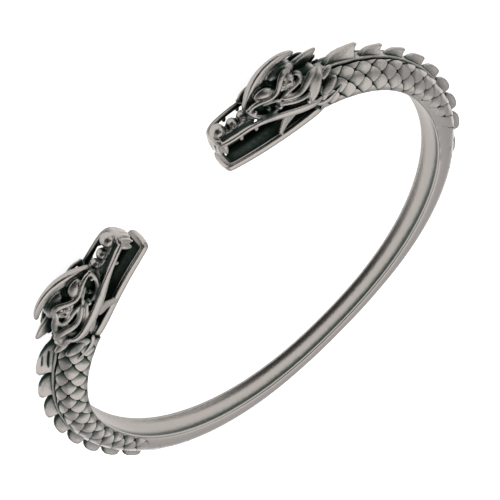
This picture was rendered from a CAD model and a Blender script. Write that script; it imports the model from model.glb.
# Open arm ring of oxidised silver with a dragon's head at each end
import math

import bmesh
import bpy
from mathutils import Matrix, Vector


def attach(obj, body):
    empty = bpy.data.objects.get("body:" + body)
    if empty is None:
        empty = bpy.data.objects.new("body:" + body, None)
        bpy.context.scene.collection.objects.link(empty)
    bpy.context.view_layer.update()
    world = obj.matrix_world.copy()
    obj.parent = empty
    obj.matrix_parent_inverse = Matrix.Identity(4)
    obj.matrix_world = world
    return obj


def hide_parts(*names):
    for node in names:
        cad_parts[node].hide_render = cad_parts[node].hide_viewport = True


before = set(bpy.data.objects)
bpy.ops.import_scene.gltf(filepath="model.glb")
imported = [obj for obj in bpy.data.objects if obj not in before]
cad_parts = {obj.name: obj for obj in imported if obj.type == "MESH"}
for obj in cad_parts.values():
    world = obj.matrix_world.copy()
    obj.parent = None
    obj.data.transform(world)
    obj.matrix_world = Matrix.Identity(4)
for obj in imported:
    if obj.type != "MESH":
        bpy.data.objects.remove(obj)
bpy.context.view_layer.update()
bpy.ops.object.select_all(action="DESELECT")

# Named sizes in millimetres. Those of the ring and the heads are the solid's own, while
# the channel's depth, the scales' sizes and the fins' height are set for the render
MM = 0.001
INNER_W = 61
BACK_DEPTH = 24.4
FRONT_DEPTH = 20.2
OVAL_POWER = 2.2
MOUTH_GAP = 13.4
NECK_T, SIDE_T, BACK_T = 4.7, 3.6, 2.5
NECK_W, BACK_W = 5.4, 3.5
CHANNEL_D = 0.5
SCALE_PITCH = 2.45
SCALE_RISE = 0.46
SCALE_ROWS = 5
SCALE_COLUMNS = 16
RIDGE_W, RIDGE_H = 1.5, 0.45
FIN_PITCH, FIN_H, FIN_T, FIN_COUNT = 3.5, 2.35, 1.15, 10
HEAD_L, HEAD_H, HEAD_W = 16, 12.4, 6.6
HEAD_TURN, HEAD_SKEW = 8, 2
# The oval's widest line at half the ring's height
RING_MIDDLE = Vector((0, 0.272, 3.424))


def lookup(table, x, column=1):
    """Reads a column of a table between its rows."""
    if x <= table[0][0]:
        return table[0][column]
    for low, high in zip(table, table[1:]):
        if x <= high[0]:
            share = (x - low[0]) / (high[0] - low[0])
            return low[column] + share * (high[column] - low[column])
    return table[-1][column]


def signed_power(value, exponent):
    return math.copysign(abs(value) ** exponent, value)


# The inner oval from the front centre round to the back, as points with their run
def oval_point(angle):
    depth = BACK_DEPTH if angle > 0 else FRONT_DEPTH
    return Vector((INNER_W / 2 * signed_power(max(0, math.cos(angle)), 2 / OVAL_POWER),
                   depth * signed_power(math.sin(angle), 2 / OVAL_POWER)))


OVAL_STEPS = 480
OVAL = [oval_point(math.pi * (i / OVAL_STEPS - 0.5)) for i in range(OVAL_STEPS + 1)]
RUNS = [0]
for here, there in zip(OVAL, OVAL[1:]):
    RUNS.append(RUNS[-1] + (there - here).length)
RUN_TABLE = [[run, point.x, point.y] for run, point in zip(RUNS, OVAL)]
HALF_RUN = RUNS[-1]
JAW_RUN = lookup([[point.x, run] for run, point in zip(RUNS, OVAL) if point.y < 0], MOUTH_GAP / 2)
NECK_SHARE = 0.93
NECK_RUN = JAW_RUN + NECK_SHARE * HEAD_L
ARM = HALF_RUN - NECK_RUN


def on_oval(run):
    return Vector((lookup(RUN_TABLE, run), lookup(RUN_TABLE, run, 2)))


def out_of_oval(run):
    step = (on_oval(run + 0.3) - on_oval(run - 0.3)).normalized()
    return Vector((step.y, -step.x))


def in_frame(x, y, z):
    """A point given in the oval's own millimetres, as metres in the shared frame."""
    return (Vector((x, y, z)) + RING_MIDDLE) * MM


def arm_point(a, r, z, hand=1):
    """A point of an arm: the distance a from the neck, r out of the oval and z across."""
    past = a > ARM
    run = NECK_RUN + (2 * ARM - a if past else a)
    spot = on_oval(run) + r * out_of_oval(run)
    return in_frame(hand * (-spot.x if past else spot.x), spot.y, z)


# The band: its share of the way along an arm, thickness and width
BAND_TABLE = [[0, 1, 1], [0.12, 0.7, 0.9], [0.22, 0.49, 0.78], [0.32, 0.45, 0.66], [0.55, 0.45, 0.42],
              [0.72, 0.28, 0.16], [0.88, 0.05, 0.02], [1, 0, 0]]
ROOT, ARCH = 0.30, 0.85
SIDE_TURN = 30
RIM = 0.16
RIDGE_END = 0.62


def share_of(a):
    return min(a, 2 * ARM - a) / ARM


def band_t(a):
    k = lookup(BAND_TABLE, share_of(a))
    side = 0.5
    if k > side:
        return SIDE_T + (NECK_T - SIDE_T) * (k - side) / (1 - side)
    return BACK_T + (SIDE_T - BACK_T) * k / side


def band_w(a):
    return BACK_W + (NECK_W - BACK_W) * lookup(BAND_TABLE, share_of(a), 2)


def arch(a, turn):
    """The outer face's height out of the oval and place across, at a turn from the ridge.

    Past 90 the turn goes on straight down the side to the inner edge.
    """
    down = max(0, abs(turn) - 90) / SIDE_TURN
    turn = math.radians(max(-90, min(90, turn)))
    rise = ROOT * (1 - down) + (1 - ROOT) * max(0, math.cos(turn)) ** ARCH
    return band_t(a) * rise, band_w(a) / 2 * signed_power(math.sin(turn), ARCH)


def ridge_rise(a):
    return RIDGE_H * max(0.02, min(1, 3 * (RIDGE_END - share_of(a))))


# Modelling by hand
def sweep(name, rings, soot=None):
    """A solid bar: a filled outline, extruded and laid on one ring after another."""
    bpy.ops.object.select_all(action="DESELECT")
    bpy.ops.mesh.primitive_circle_add(vertices=len(rings[0]), radius=MM, fill_type="NGON",
                                      enter_editmode=True)
    piece = bpy.context.object
    piece.name = name
    for number, ring in enumerate(rings):
        if number:
            bpy.ops.mesh.extrude_region_move()
        mesh = bmesh.from_edit_mesh(piece.data)
        layer = mesh.verts.layers.float.get("soot") or mesh.verts.layers.float.new("soot")
        cap = next(face for face in mesh.faces if face.select)
        for spot, (corner, place) in enumerate(zip(cap.verts, ring)):
            corner.co = place
            corner[layer] = soot[number][spot] if soot else 0
    bmesh.update_edit_mesh(piece.data)
    bpy.ops.mesh.select_all(action="SELECT")
    bpy.ops.mesh.normals_make_consistent(inside=False)
    bpy.ops.object.mode_set(mode="OBJECT")
    bpy.ops.object.transform_apply()
    return piece


def join(name, pieces):
    bpy.ops.object.select_all(action="DESELECT")
    for piece in pieces:
        piece.select_set(True)
    bpy.context.view_layer.objects.active = pieces[0]
    bpy.ops.object.join()
    pieces[0].name = name
    return pieces[0]


def add_modifier(piece, kind, **settings):
    """Adds a modifier with its settings and applies it."""
    bpy.ops.object.select_all(action="DESELECT")
    piece.select_set(True)
    bpy.context.view_layer.objects.active = piece
    bpy.ops.object.modifier_add(type=kind)
    modifier = piece.modifiers[-1]
    for setting, value in settings.items():
        setattr(modifier, setting, value)
    bpy.ops.object.modifier_apply(modifier=modifier.name)


def stain(piece, amount):
    """Writes how dark the finish stays at each corner of the piece."""
    soot = piece.data.attributes.get("soot") or piece.data.attributes.new("soot", "FLOAT", "POINT")
    for number, corner in enumerate(piece.data.vertices):
        soot.data[number].value = amount(corner.co)


EDGE_TURN = 119
RIDGE_TURN = 19
ROW_TURN = 23.6
ROW_T = 4.2
# Where the scales begin and end to run out along an arm, by rows from the edge to the ridge
LEFT_FADE = [[0, 22, 30], [1, 23, 30], [2, 22, 29], [3, 20, 28], [5, 20, 28]]
RIGHT_FADE = [[0, 9, 17], [1, 15, 23], [2, 24, 30], [3, 26, 32], [5, 26, 32]]
SCALE_SOOT = {1: 0.95, -1: 0.6}
# How dark the channel stays across: along the foot of its upper rim
CHANNEL_SOOT = [[-1, 0], [-0.93, 0.2], [-0.7, 0.1], [-0.3, 0], [0.2, 0.1], [0.5, 0.75], [0.8, 1], [0.93, 0.7],
                [1, 0]]


def scale_fade(a, up):
    """How far the scales still stand at a distance from the neck and a row from the edge."""
    table = LEFT_FADE if a < ARM else RIGHT_FADE
    first, last = lookup(table, up), lookup(table, up, 2)
    return max(0, min(1, (last - min(a, 2 * ARM - a)) / (last - first)))


# The band with its channel and rims
def band_section(a):
    """The corners of the band's section: height, place across and how dark each stays."""
    half = band_w(a) / 2
    lip = half * (1 - RIM)
    section = []
    for turn in (108, 98, 84, 74, 62, 50, 38, 26, 14, 0, -14, -26, -38, -50, -62, -74, -84, -98, -108):
        up = (EDGE_TURN - abs(turn)) / ROW_TURN / ROW_T * band_t(a)
        section.append((*arch(a, turn), min(1, 2 * scale_fade(a, up))))
    side = [(0.12, half * 0.995), (0.03, half * 0.94), (0.03, lip * 1.02)]
    side += [(CHANNEL_D * (1 - share * share), share * lip) for share in (0.93, 0.8, 0.6, 0.35, 0)]
    for r, z in [(r, -z) for r, z in side] + side[-2::-1]:
        section.append((r, z, lookup(CHANNEL_SOOT, z / lip)))
    return section


def band_ring(a):
    return [arm_point(a, r, z) for r, z, dark in band_section(a)]


BAND_STEPS = 150
# The band's rounded ends: distance past the neck and share of the section
END_TABLE = [[1.5, 0.55], [1.2, 0.8], [0.6, 0.95]]


def band_end(a, share):
    ring = band_ring(a)
    middle = sum(ring, Vector()) / len(ring)
    return [middle + share * (spot - middle) for spot in ring]


def make_band():
    steps = [2 * ARM * i / BAND_STEPS for i in range(BAND_STEPS + 1)]
    rings = [band_end(-past, share) for past, share in END_TABLE]
    rings += [band_ring(a) for a in steps]
    rings += [band_end(2 * ARM + past, share) for past, share in reversed(END_TABLE)]
    soot = [[dark for r, z, dark in band_section(a)] for a in [0, 0, 0] + steps + [2 * ARM] * 3]
    band = sweep("band", rings, soot)
    add_modifier(band, "SUBSURF", levels=1, render_levels=1)
    return band


def ridge_ring(a, hand):
    crown, rise, half = band_t(a), ridge_rise(a), RIDGE_W / 2
    profile = [(crown - 0.6, half + 0.05), (crown + 0.05, half + 0.02), (crown + rise * 0.8, half - 0.04),
               (crown + rise, half * 0.8), (crown + rise * 1.08, 0), (crown + rise, -half * 0.8),
               (crown + rise * 0.8, -half + 0.04), (crown + 0.05, -half - 0.02), (crown - 0.6, -half - 0.05)]
    return [arm_point(a, r, z, hand) for r, z in profile]


def make_ridge(hand):
    length = RIDGE_END * ARM
    return sweep("ridge", [ridge_ring(length * i / 40, hand) for i in range(-1, 41)])


# The fins: number, height on the left arm and on the right, hook and length
FIN_TABLE = [[0, 1.16, 1.1, 1, 1.5], [1, 0.98, 0.82, 1, 1.04], [2, 0.88, 0.72, 0.95, 1],
             [3, 0.8, 0.72, 0.8, 1], [4, 0.78, 0.74, 0.45, 0.98], [5, 0.76, 0.74, 0.15, 0.95],
             [7, 0.66, 0.70, 0, 0.92], [8, 0.4, 0.4, 0, 0.85], [9, 0.2, 0.2, 0, 0.7],
             [11, 0.1, 0.1, 0, 0.6]]
# Side outlines from the front root over the tip to the rear root: a hooked blade and a round one
BLADE = [[-0.88, -0.5], [-0.86, 0.02], [-0.78, 0.34], [-0.66, 0.68], [-0.56, 0.86], [-0.42, 0.94],
         [-0.2, 0.99], [-0.04, 1.02], [0.02, 0.95], [-0.01, 0.78], [-0.02, 0.55], [0.0, 0.3],
         [0.06, 0.05], [0.06, -0.5]]
ROUND = [[-0.9, -0.5], [-0.89, 0.02], [-0.86, 0.3], [-0.78, 0.56], [-0.66, 0.78], [-0.5, 0.93], [-0.32, 1.0],
         [-0.12, 1.0], [0.03, 0.93], [0.1, 0.8], [0.1, 0.62], [0.06, 0.4], [0.04, 0.15], [0.04, -0.5]]
FIRST_TIP = 5.6
# By hand, left and right: the share of the hook that is kept and the soot of the front root
BLUNT = {1: 0.15, -1: 1}
FIN_SOOT = {1: 1, -1: 0.2}
ROOT_REACH = 0.13
# A stain past full, for what is black also where it stands proud
PAST_FULL = 1.3
# How much a fin thins to its top, its thickness in front and what it gains to the rear
TOP_THIN, FRONT_SHARE, REAR_GAIN = 0.62, 0.7, 0.4
FIN_FRONT, FIN_FOOT = -0.9, 0.22
# The engraved lines of the left arm's first fin: from along and up, to along and up
FIN_LINES = [[-0.42, 0.84, -0.16, 0.74], [-0.52, 0.54, -0.1, 0.38]]
LINE_HALF = 0.028
LINE_RISE = 0.012


def fin_half(along, up):
    """Half a fin's thickness at a place of its side."""
    return FIN_T / 2 * (1 - TOP_THIN * max(0, min(1, up))) * (FRONT_SHARE + REAR_GAIN * (along - FIN_FRONT))


def fin_layer(number, part, inset, hand):
    """The fin's outline at a part of its half thickness, thin in front and towards the top."""
    hook = BLUNT[hand] * lookup(FIN_TABLE, number, 3)
    layer = []
    for blade, bump in zip(BLADE, ROUND):
        along = bump[0] + hook * (blade[0] - bump[0])
        up = bump[1] + hook * (blade[1] - bump[1])
        half = fin_half(along, up) + (RIDGE_W - FIN_T) / 2 * max(0, min(1, 1 - up / FIN_FOOT))
        layer.append((along + inset * (-0.4 - along) * (up > 0), up - inset * max(0, up), part * half))
    return layer


def front_of_fin(layer, up):
    return lookup([[y, x] for x, y, z in layer[:6]], up)


def fin_line(row, side):
    """A blackened line of the fin's face."""
    rings = []
    for share, width in ((0, 0.2), (0.2, 1), (0.8, 1), (1, 0.2)):
        along = row[0] + share * (row[2] - row[0])
        up = row[1] + share * (row[3] - row[1])
        face = fin_half(along, up) + LINE_RISE
        rings.append([(along, up + y * LINE_HALF * width, side * (face - z))
                      for y, z in ((-1, 0.3), (-1, 0), (1, 0), (1, 0.3))])
    line = sweep("line", rings)
    stain(line, lambda spot: 1)
    return line


def make_fin(number, hand):
    """A fin modelled flat, with dished faces and a dark front root, then bent on the arm."""
    layers = [fin_layer(number, part, inset, hand) for part, inset in (
        (-0.93, 0.5), (-0.94, 0.34), (-0.95, 0.2), (-1, 0.06), (-0.8, 0.02), (0, 0),
        (0.8, 0.02), (1, 0.06), (0.95, 0.2), (0.94, 0.34), (0.93, 0.5))]
    fin = sweep("fin", layers)
    middle = layers[len(layers) // 2]
    stain(fin, lambda spot: FIN_SOOT[hand] * max(
        0, PAST_FULL - (spot.x - front_of_fin(middle, spot.y)) / ROOT_REACH))
    if number == 0 and hand > 0:
        lines = [fin_line(row, side) for row in FIN_LINES for side in (-1, 1)]
        join("fin", [fin] + lines)
    tip = FIRST_TIP + number * FIN_PITCH
    rise = FIN_H * lookup(FIN_TABLE, number, 1 if hand > 0 else 2)
    long = FIN_PITCH * lookup(FIN_TABLE, number, 4)
    for corner in fin.data.vertices:
        x, y, z = corner.co
        corner.co = arm_point(tip + long * x, band_t(tip) + rise * y, z, hand)
    bpy.ops.object.mode_set(mode="EDIT")
    bpy.ops.mesh.select_all(action="SELECT")
    bpy.ops.mesh.normals_make_consistent(inside=False)
    bpy.ops.object.mode_set(mode="OBJECT")
    return fin


# The last notches on the plain metal: distance from the neck, turn from and to, lean along the arm
LEFT_NOTCHES = [[25.9, 92, 60, 0.9], [28.3, 92, 54, 0.9], [31, 86, 60, 0.9], [33.2, 76, 60, 0.5],
                [36, 74, 58, 0.5]]
RIGHT_NOTCHES = [[26.2, 92, 74, 0.4], [29.2, 72, 48, 0.3], [31.1, 80, 56, 0.3], [32.9, 66, 46, 0.2],
                 [34.7, 70, 56, 0.2], [36.4, 66, 52, 0.2], [43, 62, 50, 0.2]]
NOTCH_HALF = 0.15


# The scales: one shield, modelled once, then copied and wrapped on the band
def model_scale():
    """One scale in its own square: a lifted shield with its free tip towards +x."""
    bpy.ops.object.select_all(action="DESELECT")
    bpy.ops.mesh.primitive_grid_add(x_subdivisions=3, y_subdivisions=3, size=math.sqrt(2),
                                    enter_editmode=True)
    bpy.ops.transform.rotate(value=math.radians(45), orient_axis="Z", center_override=(0, 0, 0))
    bpy.ops.mesh.inset(thickness=0.05)
    bpy.ops.transform.translate(value=(0, 0, 1))
    bpy.ops.mesh.region_to_loop()
    bpy.ops.transform.edge_crease(value=0.75)
    bpy.ops.object.mode_set(mode="OBJECT")
    scale = bpy.context.object
    bpy.ops.object.transform_apply()
    for corner in scale.data.vertices:
        x, y, z = corner.co
        if z > 0.5:
            x = max(-0.9, min(0.88, 1.06 * x + 0.2 * abs(y) * (1 - abs(y))))
            y = max(-0.93, min(0.93, 1.06 * y))
        corner.co = (x, y, z * (0.3 + 0.37 * (x + 1)))
    return scale


def wrap_scale(scale, column, row, side, hand):
    """A copy of the scale laid on its place of the band, its rows counted up from the inner edge."""
    copy = scale.copy()
    copy.data = scale.data.copy()
    bpy.context.collection.objects.link(copy)
    soot = copy.data.attributes.new("soot", "FLOAT", "POINT")
    for number, corner in enumerate(copy.data.vertices):
        x, y, z = corner.co
        a = max(-0.4, (column + x) * SCALE_PITCH / 2)
        up = max(0.1, row + 0.5 + y)
        turn = max(RIDGE_TURN, EDGE_TURN - up * ROW_TURN * ROW_T / band_t(a)) * side
        fade = scale_fade(a if hand > 0 else 2 * ARM - a, up)
        lift = SCALE_RISE * z * min(1, (up - 0.1) / 0.5) * fade
        tilt = math.radians(max(-90, min(90, turn)))
        r, across = arch(a, turn)
        corner.co = arm_point(a, r + lift * math.cos(tilt), across + lift * math.sin(tilt), hand)
        dark = SCALE_SOOT[hand] * max(0, min(1, 1.15 - 0.9 * (x + 0.75))) if z > 0 else 1
        soot.data[number].value = dark * min(1, 2 * fade)
    return copy


def make_scales(hand):
    scale = model_scale()
    scales = []
    for column in range(2 * SCALE_COLUMNS):
        ridge_row = (EDGE_TURN - RIDGE_TURN) / ROW_TURN / ROW_T * band_t(column * SCALE_PITCH / 2)
        last = lookup(LEFT_FADE if hand > 0 else RIGHT_FADE, 3, 2) + SCALE_PITCH / 2
        scales += [wrap_scale(scale, column, row, side, hand) for row in range(SCALE_ROWS) for side in (-1, 1)
                   if (column + row) % 2 == 0 and row - 0.3 < ridge_row and column * SCALE_PITCH / 2 < last]
    bpy.data.objects.remove(scale)
    for row in LEFT_NOTCHES if hand > 0 else RIGHT_NOTCHES:
        scales += [make_notch(*row, side, hand) for side in (-1, 1)]
    whole = join("scales", scales)
    add_modifier(whole, "SUBSURF", levels=1, render_levels=1)
    bpy.ops.object.mode_set(mode="EDIT")
    bpy.ops.mesh.select_all(action="SELECT")
    bpy.ops.mesh.normals_make_consistent(inside=False)
    bpy.ops.object.mode_set(mode="OBJECT")
    return whole


def make_notch(a, first, last, lean, side, hand):
    """A blackened cut in the plain metal where the scales run out."""
    rings = []
    for share, width in ((0, 0.15), (0.25, 0.8), (0.6, 1), (1, 0.3)):
        turn = first + share * (last - first)
        ring = []
        for x, lift in ((-1, -0.2), (-1, 0.015), (1, 0.015), (1, -0.2)):
            spot = a + share * lean + x * NOTCH_HALF * width
            r, across = arch(spot, turn)
            tilt = math.radians(min(90, turn))
            ring.append(arm_point(spot, r + lift * math.cos(tilt),
                                  side * (across + lift * math.sin(tilt)), hand))
        rings.append(ring)
    notch = sweep("notch", rings)
    stain(notch, lambda spot: PAST_FULL)
    return notch


# A head's own frame: along from the jaw's tip to the neck, up out of the ring
# and side across, each in hundredths of the head's sizes
def swing(v, angle):
    c, s = math.cos(angle), math.sin(angle)
    return Vector((v[0] * c - v[1] * s, v[0] * s + v[1] * c))


NECK_POINT = on_oval(NECK_RUN)
JAW_REACH = on_oval(JAW_RUN) - NECK_POINT


class Head:
    """One head's frame. The +X head is bent out by the skew and the other in."""

    def __init__(self, hand):
        self.hand = hand
        self.skew = math.radians(HEAD_SKEW * hand)
        angle = math.atan2(-JAW_REACH.y, -JAW_REACH.x) + math.radians(HEAD_TURN) + self.skew
        self.tip = NECK_POINT + swing(JAW_REACH, self.skew)
        self.back_way = swing((1, 0), angle)
        self.up_way = swing((0, -1), angle)

    def point(self, along, up, side):
        spot = self.tip + along / 100 * HEAD_L * self.back_way + up / 100 * HEAD_H * self.up_way
        return in_frame(self.hand * spot.x, spot.y, side / 100 * HEAD_W / 2)

    def place_in(self, spot):
        """The along, up and side of a point of the shared frame."""
        own = spot / MM - RING_MIDDLE
        flat = Vector((self.hand * own.x, own.y)) - self.tip
        return (flat.dot(self.back_way) / HEAD_L * 100, flat.dot(self.up_way) / HEAD_H * 100,
                own.z / HEAD_W * 200)

    def way(self, v):
        flat = v[0] * self.back_way + v[1] * self.up_way
        return Vector((self.hand * flat.x, flat.y, v[2])).normalized()

    def stroke(self, rows, facing, groove=1.0, sides=8):
        """A flat bar through rows of along, up, side, half width and half thickness.

        A groove share under 1 sinks a line along the middle of its flat faces.
        """
        spots = [self.point(*row[:3]) for row in rows]
        face_way = self.way(facing)
        rings = []
        for number, row in enumerate(rows):
            run = spots[min(number + 1, len(rows) - 1)] - spots[max(number - 1, 0)]
            across = face_way.cross(run).normalized()
            deep = run.cross(across).normalized()
            ring = []
            for k in range(sides):
                turn = 2 * math.pi * k / sides
                wide, thick = signed_power(math.cos(turn), BOXY), signed_power(math.sin(turn), BOXY)
                if abs(wide) < 0.01:
                    wide, thick = 0, thick * groove
                ring.append(spots[number]
                            + HEAD_H / 100 * MM * (row[3] * wide * across + row[4] * thick * deep))
            rings.append(ring)
        return sweep("stroke", rings)

    def pair(self, rows, facing, groove=1.0):
        return [self.stroke([[a, u, side * s, w, t] for a, u, s, w, t in rows],
                            (facing[0], facing[1], side * facing[2]), groove) for side in (-1, 1)]

    def mass(self, rows):
        """A rounded mass: along, lowest and highest up, half width low and high."""
        rings = []
        for along, low, high, wide_low, wide_high in rows:
            mid = (low + high) / 2
            half = [(low, 0.75 * wide_low), (low + (mid - low) * 0.4, wide_low),
                    (mid + (high - mid) * 0.35, (wide_low + wide_high) / 2),
                    (high - (high - mid) * 0.15, 0.72 * wide_high), (high, 0.25 * wide_high)]
            rings.append([self.point(along, up, side) for up, side in half]
                         + [self.point(along, up, -side) for up, side in reversed(half)])
        return sweep("mass", rings)

    def ball(self, place, radius):
        bpy.ops.object.select_all(action="DESELECT")
        bpy.ops.mesh.primitive_ico_sphere_add(subdivisions=2, radius=radius * HEAD_H / 100 * MM * 1.05,
                                              location=self.point(*place))
        bpy.ops.object.transform_apply()
        return bpy.context.object

    def tooth(self, row):
        """A tooth from its root: along, up, side, length and half width along and across."""
        along, up, side, length, long, wide = row
        root = self.point(along, up, side)
        tip = self.point(along, up - length, side)
        rings = []
        for share, width in ((-0.4, 1), (0, 1), (0.5, 0.92), (0.85, 0.66), (1, 0.4)):
            spot = root + share * (tip - root)
            rings.append([spot + HEAD_H / 100 * MM * width * (
                long * math.cos(math.pi * k / 3) * self.way((1, 0, 0))
                + wide * math.sin(math.pi * k / 3) * self.way((0, 0, 1))) for k in range(6)])
        return sweep("tooth", rings)


BOXY = 0.4
SIDEWAYS = (0, 0, 1)
UPWARDS = (0, 1, 0.3)
SLANTED = (0, 0.7, 1)
FORWARDS = (1, 0, 0)

# Strokes: along, up, side, half width, half thickness
SKULL = [[28, 46, 54, 14, 12], [38, 40, 73, 46, 28], [50, 37, 81, 60, 38], [62, 34, 80, 68, 50],
         [76, 20, 76, 74, 56], [92, 19, 68, 78, 60], [102, 24, 60, 76, 60]]
LEFT_LIP = [[-1.5, 41, 30, 3, 3.4], [0, 42, 44, 3.2, 3.4], [4, 44.5, 54, 2.8, 3.2], [11, 46, 61, 2.6, 3],
            [20, 46, 65, 3, 3], [32, 46, 69, 4.2, 3.2], [44, 45, 76, 5.6, 3.4], [56, 44, 82, 6.4, 3.4],
            [68, 45, 88, 6.2, 3.4], [80, 48, 93, 5.2, 3.2], [87, 52, 94, 4.2, 3], [91, 58, 92, 3.2, 2.4],
            [90, 65, 86, 1.4, 1.4]]
RIGHT_LIP = [[-1.5, 41, 30, 3, 3.4], [0, 42, 44, 3.2, 3.4], [4, 44.5, 54, 2.8, 3.2], [11, 46, 61, 2.6, 3],
             [20, 48, 64, 2.8, 2.8], [30, 49, 67, 3, 2.8], [42, 48, 72, 3.8, 3], [54, 45, 80, 4.6, 3.2],
             [66, 41, 87, 5, 3.4], [77, 38, 92, 4.8, 3.2], [86, 37, 94, 3.8, 3], [93, 39, 90, 1.6, 1.6]]
BROW = [[30, 62, 36, 2, 2.4], [34, 67, 40, 2.6, 2.6], [40, 69, 46, 3, 2.6], [47, 68, 52, 3, 2.6],
        [53, 68, 55, 3, 2.6], [58, 72, 53, 3.2, 2.6], [61, 78, 48, 3.4, 2.6], [64, 84, 41, 4, 2.6],
        [68, 87, 35, 4.6, 2.4], [72, 84, 31, 4, 2.2], [74, 79, 32, 2.4, 2]]
EAR = [[56, 60, 63, 1.6, 2], [61, 64, 62, 2.6, 2.4], [68, 66, 59, 3.2, 2.4], [75, 67, 56, 3.6, 2.4],
       [81, 71, 50, 4.4, 2.4], [80, 77, 43, 3.8, 2.2], [75, 79, 36, 2.4, 2]]
EAR_WEB = [[58, 69, 50, 3, 2], [63, 74, 46, 6.5, 2], [69, 76, 43, 7, 2], [76, 75, 41, 4, 2]]
DOME = [[54, 82, 12, 4, 4], [62, 86, 13, 7, 4], [72, 85, 14, 6.5, 4], [80, 80, 14, 4, 3]]
CHEEK = [[58, 62, 68, 2, 2], [66, 59, 73, 3.4, 2.4], [74, 58, 76, 4, 2.6], [80, 62, 74, 4.4, 2.8],
         [85, 68, 67, 4.8, 2.6], [91, 72, 57, 4.4, 2.4], [97, 71, 50, 1.6, 1.4]]
CHEEK_FIN = [[79, 41, 84, 3.6, 3], [84, 47, 84, 6.4, 3.4], [88, 55, 77, 8, 3.2], [92, 63, 66, 7.6, 3],
             [97, 67, 55, 5, 2.2], [101, 67, 48, 1.6, 1]]
LOW_RIBBON = [[50, 58, 64, 1.6, 2], [57, 57, 70, 3, 2.6], [67, 52, 77, 3.6, 2.8], [77, 50, 82, 3.4, 2.6],
              [84, 52, 82, 2.4, 2]]
LID = [[38, 70, 25, 2, 2.4], [43, 74, 27, 5.4, 4.6], [49, 74, 30, 7, 5.6], [55, 69, 36, 6, 4.6],
       [60, 64, 42, 2, 2.4]]
EYE_RING = [[29, 66, 34, 2, 2], [32, 59, 46, 2.8, 2.4], [36, 53, 56, 3, 2.6], [43, 50, 62, 3, 2.6],
            [50, 52, 68, 2.8, 2.4], [57, 55, 72, 2.2, 2]]
EYE_LINE = [[41, 64, 51, 1.6, 1.8], [47, 64, 55, 2.2, 2.2], [53, 63, 59, 2.2, 2.2], [58, 60, 63, 1.6, 1.8]]
SPUR = [[86, 33, 84, 2, 2], [91, 28, 85, 3.6, 2.6], [98, 28, 85, 4, 2.8], [105, 32, 84, 3.4, 2.6],
        [113, 37, 82, 1, 1.4]]
NECK_TILE = [[93, 38, 80, 3, 2.4], [98, 42, 80, 6.6, 2.8], [104, 47, 77, 6.6, 2.8], [110, 52, 73, 2, 2]]
NECK_TILE_HIGH = [[96, 56, 68, 3, 2], [100, 59, 64, 4.4, 2.2], [105, 62, 59, 4, 2], [109, 64, 54, 1.6, 1.4]]
# Round knobs: along, up, side, radius
KNOBS = [[55, 55, 72, 3.6], [80, 44, 86, 3.4], [35, 60, 47, 3], [64, 73, 50, 3.2],
         [71, 72, 50, 3.4], [67, 79, 42, 3]]
# More strokes, along the middle of the head and round its mouth
HORN = [[30, 54, 0, 3, 3.4], [34, 64, 0, 5, 5], [40, 77, 0, 7, 6], [49, 89, 0, 8, 5], [60, 96, 0, 7.4, 4],
        [70, 99, 0, 5.6, 3.2], [78, 98, 0, 4, 2.6], [84, 94, 0, 2.4, 1.8]]
PRONG = [[50, 82, 0, 6, 4.6], [60, 86, 0, 6, 4], [69, 86, 0, 4, 3.2], [74, 81, 0, 1.6, 1.4]]
CREST = [[70, 70, 0, 5, 4.4], [80, 74, 0, 9.5, 4.2], [91, 77, 0, 9.5, 3.2], [99, 81, 0, 5, 2.2],
         [104, 83, 0, 1.6, 1.2]]
SNOUT = [[0, 46, 0, 4, 5], [10, 44, 0, 5, 4.5], [26, 45, 0, 5, 4.5], [36, 50, 0, 5, 8]]
SEPTUM = [[2, 40, 0, 8, 3], [12, 38, 0, 9, 3], [26, 39, 0, 9, 3.4], [38, 42, 0, 9, 6]]
MUZZLE = [[2, 42, -50, 4, 3.6], [-1, 43, -26, 4.6, 4], [-2, 44, 0, 4.6, 4], [-1, 43, 26, 4.6, 4],
          [2, 42, 50, 4, 3.6]]
CORNER = [[51, 12, 60, 3, 2], [55, 22, 64, 3.6, 2], [59, 31, 70, 6, 2.2], [65, 40, 78, 10, 2.4]]
GUM = [[2, 39, -50, 7, 3.4], [-1.6, 38, -26, 8, 3.6], [-2.4, 38, 0, 8, 3.6], [-1.6, 38, 26, 8, 3.6],
       [2, 39, 50, 7, 3.4]]
# Teeth: along, up of the root, side, length, half width along and across
TEETH = [[-3, 38, 0, 11, 3.6, 4.6], [-2.4, 38, 18, 11, 3.6, 4.6], [-1, 38, 36, 11, 3.6, 4.4],
         [2.4, 38, 52, 10, 3.8, 3.4], [17, 44, 63, 6, 3.4, 2.6], [31, 46, 68, 6, 3.4, 2.6]]
SNOUT_BEADS = [[3.8, 50, 0, 8.2], [17.5, 48.5, 0, 6.6], [27.5, 51, 0, 6.2]]
# Patches where the dark finish stays: along, up, side, reach in mm and amount
SOOT = [[45, 56, 58, 2.0, 0.8], [66, 86, 12, 1.6, 0.8], [76, 56, 76, 1.4, 0.5], [86, 74, 30, 2.2, 0.7],
        [102, 42, 78, 1.8, 0.5], [60, 84, 10, 2.4, 0.5], [12, 34, 0, 1.6, 0.9], [26, 34, 0, 1.6, 0.9]]
# The rear edge of the left head's cheek, from the brow's end to the lip's
BORDER = [[69, 86, 34, 2, 2], [74, 79, 36, 3.4, 2.4], [79, 79, 37, 4, 2.4], [85, 77, 41, 4, 2.4],
          [90, 71, 48, 3.8, 2.4], [96, 66, 57, 4.4, 2.6], [99, 62, 66, 3.6, 2.6], [95, 60, 78, 3.4, 2.4],
          [90, 60, 88, 2.4, 2]]
EYE = [46, 58, 58, 3.4]

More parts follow.
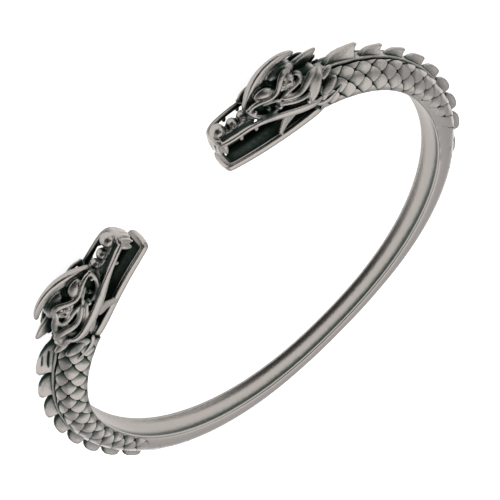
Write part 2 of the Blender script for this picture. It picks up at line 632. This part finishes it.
# The lower jaw: along, low, height, half width outside, bend
JAW = [[4, 2, 9, 60, 2], [30, 4, 10, 63, 5.5], [60, 8, 9.5, 70, 5], [84, 11, 12, 76, 2.5],
       [95, 17, 10, 78, 3], [102, 24, 8, 74, 3]]
# Its rounded front: along and share of the width, outside and inside
JAW_FRONT = [[0.8, 0.93, 6.6, 0.97], [-0.8, 0.70, 7.2, 0.7], [-1.4, 0.35, 7.4, 0.35], [-1.6, 0, 7.4, 0]]
# The strap's section: share of its height and of the way in from its outside
JAW_SECTION = [[0, 0.14], [0.25, 0], [0.8, 0], [1, 0.12], [1, 0.8], [0.75, 1], [0, 1]]
JAW_WALL, JAW_FLOOR = 24, 4


def make_jaw(head):
    """The lower jaw as a thin floor inside a strap that runs along one side, round the front and back."""
    def section(low, height, outer, inner):
        return [head.point(outer[0] + share * (inner[0] - outer[0]), low + up * height,
                           outer[1] + share * (inner[1] - outer[1])) for up, share in JAW_SECTION]

    bend = HEAD_SKEW * head.hand / 2
    floor, one_side, front = [], [], []
    for along, low, height, half, bent in JAW:
        low = low + bent * bend
        floor.append([head.point(along, up, side) for up, side in (
            (low, 0.9 * half), (low + JAW_FLOOR, 0.9 * half),
            (low + JAW_FLOOR, -0.9 * half), (low, -0.9 * half))])
        one_side.append((low, height, (along, half), (along, half - JAW_WALL)))
    low, height, (along, half), inside = one_side[0]
    for out_along, out_share, in_along, in_share in JAW_FRONT:
        front.append((low, height, (out_along, out_share * half), (in_along, in_share * (half - JAW_WALL))))
    near = one_side[::-1] + front
    far = [(low, height, (out[0], -out[1]), (into[0], -into[1])) for low, height, out, into in near[:-1]]
    strap = [section(*row) for row in near + far[::-1]]
    return [sweep("floor", floor), sweep("strap", strap)]


def head_soot(head, spot):
    """How dark a place of the head stays: inside the mouth and in the table's patches."""
    along, up, side = head.place_in(spot)
    amount = 0
    roof = min(47, 44 + max(0, along - 60) * 0.1)
    open_half = lookup(JAW, along, 3) - JAW_WALL
    low = lookup(JAW, along) + lookup(JAW, along, 4) * HEAD_SKEW * head.hand / 2
    if 4 < along < 98 and up < roof:
        inside = (open_half + 8 - abs(side)) / 5
        above = (up - low) / 3
        amount = max(0, min(1, inside, above, (roof - up) / 3))
    for row in SOOT:
        gap = Vector(((along - row[0]) * HEAD_L, (up - row[1]) * HEAD_H,
                      (abs(side) - row[2]) * HEAD_W / 2)) / 100
        amount = max(amount, row[4] * max(0, 1 - (gap.length / row[3]) ** 2))
    return amount


VOXEL = 0.00011


def make_head(hand):
    head = Head(hand)
    strokes = make_jaw(head) + [head.mass(SKULL)]
    strokes += [head.stroke(rows, facing, groove) for rows, facing, groove in (
        (SNOUT, UPWARDS, 1), (SEPTUM, SIDEWAYS, 1), (MUZZLE, FORWARDS, 1), (GUM, FORWARDS, 1),
        (HORN, SIDEWAYS, 0.7), (PRONG, SIDEWAYS, 1), (CREST, SIDEWAYS, 0.8))]
    for rows, facing, groove in (
            (LEFT_LIP if hand > 0 else RIGHT_LIP, SIDEWAYS, 1), (BROW, SLANTED, 1), (EAR, SLANTED, 1),
            (EAR_WEB, SLANTED, 1), (DOME, SLANTED, 1), (CHEEK, SLANTED, 1), (CHEEK_FIN, SLANTED, 0.7),
            (LOW_RIBBON, SLANTED, 1), (LID, SLANTED, 1), (EYE_RING, SLANTED, 1), (EYE_LINE, SLANTED, 1),
            (CORNER, SIDEWAYS, 1), (SPUR, SIDEWAYS, 1), (NECK_TILE, SLANTED, 1),
            (NECK_TILE_HIGH, SLANTED, 1)):
        strokes += head.pair(rows, facing, groove)
    if hand > 0:
        strokes += head.pair(BORDER, SLANTED)
    strokes += [head.tooth([row[0], row[1], side * row[2]] + row[3:]) for row in TEETH
                for side in ((1,) if row[2] == 0 else (-1, 1))]
    piece = join("dragon_head_" + ("right" if hand < 0 else "left"), strokes)
    add_modifier(piece, "SUBSURF", levels=2, render_levels=2)
    balls = [head.ball((row[0], row[1], side * row[2]), row[3]) for row in [EYE] + KNOBS for side in (-1, 1)]
    balls += [head.ball(row[:3], row[3]) for row in SNOUT_BEADS]
    join(piece.name, [piece] + balls)
    add_modifier(piece, "REMESH", mode="VOXEL", voxel_size=VOXEL)
    add_modifier(piece, "SMOOTH", factor=0.5, iterations=1)
    bpy.ops.object.shade_smooth()
    stain(piece, lambda spot: head_soot(head, spot))
    return piece


# The silver's finish: satin on what stands proud, near black in the recesses
def new_material(name):
    material = bpy.data.materials.new(name)
    material.use_nodes = True
    return material, material.node_tree.nodes, material.node_tree.links


def oxidised_silver():
    material, nodes, links = new_material("oxidised_silver")
    shader = nodes["Principled BSDF"]
    shader.inputs["Metallic"].default_value = 1.0
    near = nodes.new("ShaderNodeAmbientOcclusion")
    near.samples = 12
    near.only_local = False
    near.inputs["Distance"].default_value = 0.0009
    wide = nodes.new("ShaderNodeAmbientOcclusion")
    wide.samples = 12
    wide.inputs["Distance"].default_value = 0.0032
    noise = nodes.new("ShaderNodeTexNoise")
    noise.inputs["Scale"].default_value = 1600
    noise.inputs["Detail"].default_value = 6
    noise.inputs["Roughness"].default_value = 0.7
    coords = nodes.new("ShaderNodeTexCoord")
    links.new(coords.outputs["Object"], noise.inputs["Vector"])
    both = nodes.new("ShaderNodeMath")
    both.operation = "MULTIPLY"
    links.new(near.outputs["AO"], both.inputs[0])
    links.new(wide.outputs["AO"], both.inputs[1])
    uneven = nodes.new("ShaderNodeMath")
    uneven.operation = "MULTIPLY_ADD"
    links.new(noise.outputs["Fac"], uneven.inputs[0])
    uneven.inputs[1].default_value = 0.34
    links.new(both.outputs[0], uneven.inputs[2])
    soot = nodes.new("ShaderNodeAttribute")
    soot.attribute_name = "soot"
    stained = nodes.new("ShaderNodeMath")
    stained.operation = "MULTIPLY_ADD"
    links.new(soot.outputs["Fac"], stained.inputs[0])
    stained.inputs[1].default_value = -0.55
    links.new(uneven.outputs[0], stained.inputs[2])
    ramp = nodes.new("ShaderNodeValToRGB")
    ramp.color_ramp.elements[0].position = 0.48
    ramp.color_ramp.elements[0].color = (0.011, 0.020, 0.014, 1)
    ramp.color_ramp.elements[1].position = 1.0
    ramp.color_ramp.elements[1].color = (0.31, 0.285, 0.265, 1)
    middle = ramp.color_ramp.elements.new(0.74)
    middle.color = (0.085, 0.095, 0.085, 1)
    links.new(stained.outputs[0], ramp.inputs["Fac"])
    links.new(ramp.outputs["Color"], shader.inputs["Base Color"])
    rough = nodes.new("ShaderNodeMapRange")
    rough.inputs["From Min"].default_value = 0.3
    rough.inputs["From Max"].default_value = 0.8
    rough.inputs["To Min"].default_value = 0.55
    rough.inputs["To Max"].default_value = 0.27
    links.new(stained.outputs[0], rough.inputs["Value"])
    links.new(rough.outputs["Result"], shader.inputs["Roughness"])
    grain = nodes.new("ShaderNodeTexNoise")
    grain.inputs["Scale"].default_value = 3600
    grain.inputs["Detail"].default_value = 3
    links.new(coords.outputs["Object"], grain.inputs["Vector"])
    bump = nodes.new("ShaderNodeBump")
    bump.inputs["Strength"].default_value = 0.35
    bump.inputs["Distance"].default_value = 0.00006
    links.new(grain.outputs["Fac"], bump.inputs["Height"])
    links.new(bump.outputs["Normal"], shader.inputs["Normal"])
    return material


silver = oxidised_silver()
pieces = []
body = [make_band()]
for hand in (1, -1):
    pieces.append(make_head(hand))
    body += [make_ridge(hand), make_scales(hand)] + [make_fin(number, hand) for number in range(FIN_COUNT)]
pieces.append(join("scaled_band", body))
bpy.ops.object.shade_smooth_by_angle(angle=math.radians(40))

for piece in pieces:
    piece.data.materials.clear()
    piece.data.materials.append(silver)
    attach(piece, "root")
    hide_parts("arm_ring")
    print(piece.name, "triangles", sum(len(face.vertices) - 2 for face in piece.data.polygons))


# A pale floor, soft light and the photo's camera
bpy.ops.object.select_all(action="DESELECT")
bpy.ops.mesh.primitive_plane_add(size=4)
floor = bpy.context.object
floor.name = "floor"
paper, nodes, links = new_material("pale_floor")
nodes["Principled BSDF"].inputs["Base Color"].default_value = (0.9, 0.9, 0.9, 1)
nodes["Principled BSDF"].inputs["Roughness"].default_value = 0.9
nodes["Principled BSDF"].inputs["Emission Color"].default_value = (1, 1, 1, 1)
nodes["Principled BSDF"].inputs["Emission Strength"].default_value = 0.9
floor.data.materials.append(paper)

# A pale sky with a dark patch around the camera, which the metal that faces it mirrors
world = bpy.data.worlds.new("studio")
bpy.context.scene.world = world
world.use_nodes = True
background = world.node_tree.nodes["Background"]
background.inputs["Strength"].default_value = 0.95
facing = world.node_tree.nodes.new("ShaderNodeVectorMath")
facing.operation = "DOT_PRODUCT"
facing.inputs[1].default_value = (-0.066, -0.806, 0.588)
around = world.node_tree.nodes.new("ShaderNodeTexCoord")
dark = world.node_tree.nodes.new("ShaderNodeValToRGB")
dark.color_ramp.elements[0].position = 0.25
dark.color_ramp.elements[0].color = (0.97, 0.98, 1, 1)
dark.color_ramp.elements[1].position = 0.85
dark.color_ramp.elements[1].color = (0.06, 0.065, 0.06, 1)
world.node_tree.links.new(around.outputs["Generated"], facing.inputs[0])
world.node_tree.links.new(facing.outputs["Value"], dark.inputs["Fac"])
world.node_tree.links.new(dark.outputs["Color"], background.inputs["Color"])


def soft_light(name, place, size, watts):
    bpy.ops.object.light_add(type="AREA", location=place)
    light = bpy.context.object
    light.name = name
    light.data.size = size
    light.data.energy = watts
    light.rotation_euler = (-Vector(place)).to_track_quat("-Z", "Y").to_euler()
    return light


soft_light("overhead", (0.1, 0.15, 0.5), 0.6, 1.1)
soft_light("side", (-0.45, -0.2, 0.3), 0.4, 0.6)
bpy.context.scene.view_settings.view_transform = "Standard"

AZIMUTH, ELEVATION, ROLL = map(math.radians, (-4.68, 36, -223.08))
DISTANCE = 300
PIXELS_PER_MM = 7.351
HALF_FRAME = 250
# What the camera looks at, from the oval's middle in mm, and its own small offsets
AIM = Vector((0, -2, 0))
ASIDE, RAISED = 0.245, 0.218
towards = Vector((math.sin(AZIMUTH) * math.cos(ELEVATION), -math.cos(AZIMUTH) * math.cos(ELEVATION),
                  math.sin(ELEVATION)))
level = Vector((math.cos(AZIMUTH), math.sin(AZIMUTH), 0))
upright = towards.cross(level)
right = math.cos(ROLL) * level + math.sin(ROLL) * upright
up = -math.sin(ROLL) * level + math.cos(ROLL) * upright
place = DISTANCE * towards + ASIDE * right + RAISED * up + AIM + RING_MIDDLE
camera_matrix = Matrix((right, up, towards)).transposed().to_4x4()
bpy.ops.object.camera_add(location=place * MM, rotation=camera_matrix.to_euler())
camera = bpy.context.object
camera.name = "camera"
camera.data.angle = 2 * math.atan(HALF_FRAME / (PIXELS_PER_MM * DISTANCE))
camera.data.clip_start = 0.01
bpy.context.scene.camera = camera
